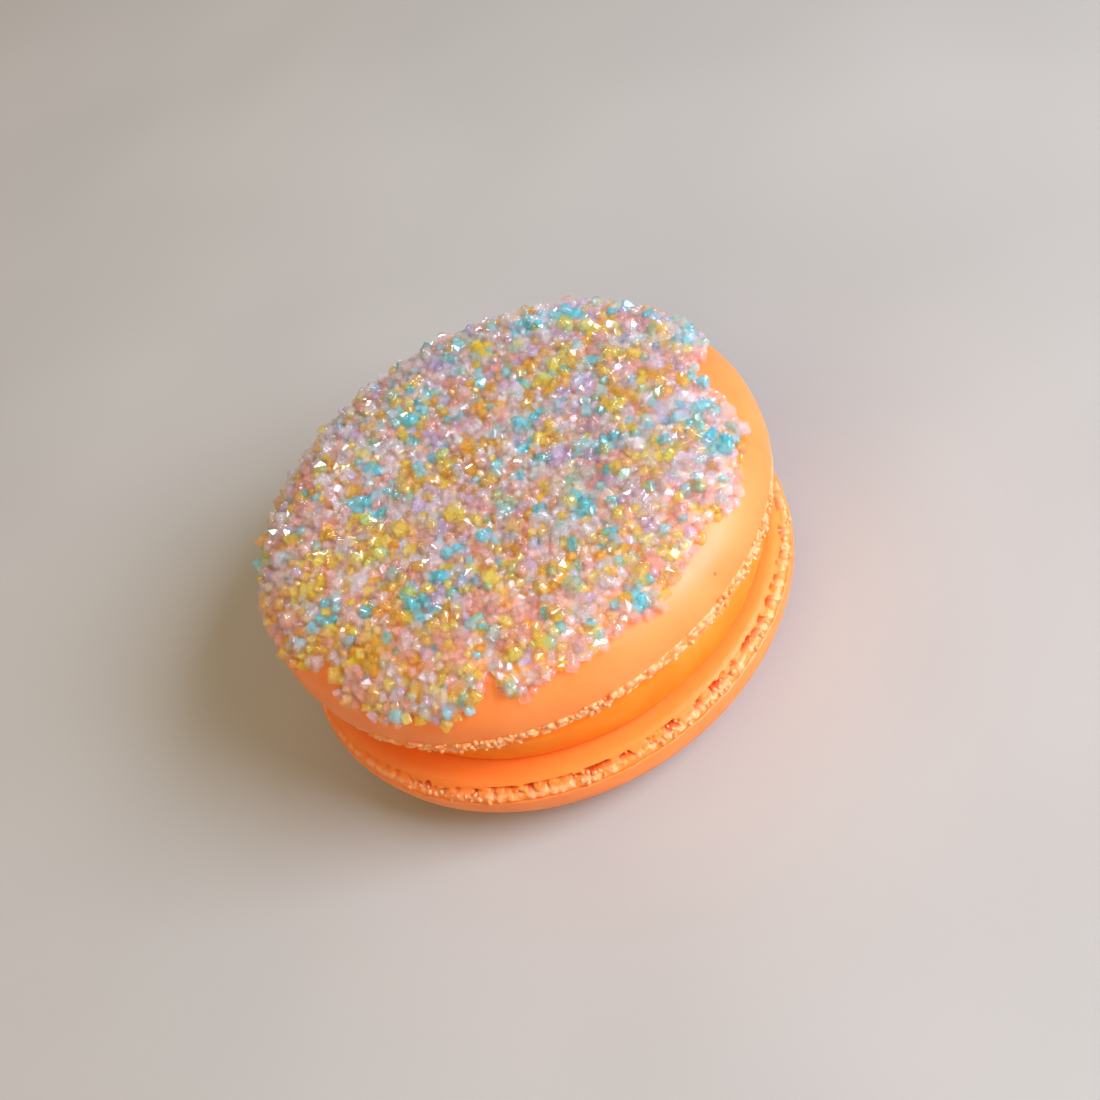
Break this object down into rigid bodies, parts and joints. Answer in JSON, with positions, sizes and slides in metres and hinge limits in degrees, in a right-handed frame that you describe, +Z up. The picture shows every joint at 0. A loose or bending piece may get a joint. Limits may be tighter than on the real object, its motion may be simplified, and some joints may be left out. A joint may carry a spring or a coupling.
{
  "type": "french macaron",
  "caption": "Round filled biscuit: domed meringue shells with ruffled feet round a soft filling, the top crusted with coarse pastel sugar crystals.",
  "frame": {"origin": "middle of the flat spot under the lower shell's crown, on which the macaron rests", "axes": "+Z up through the stack, -Y towards the side where the filling bulges out most and shows in the picture, +X to the right of that side"},
  "size_m": [0.051, 0.0516, 0.0238],
  "materials": {
    "shell": "smooth, dull baked meringue skin, apricot orange",
    "filling": "smooth, soft buttercream, orange with a faint satin sheen",
    "sugar": "clear and tinted sugar crystals, glossy facets, pink, yellow, golden, turquoise, lilac and clear"
  },
  "bodies": {
    "root": {"lower_shell": "shell", "filling": "filling", "upper_shell": "sugar"}
  },
  "joints": []
}
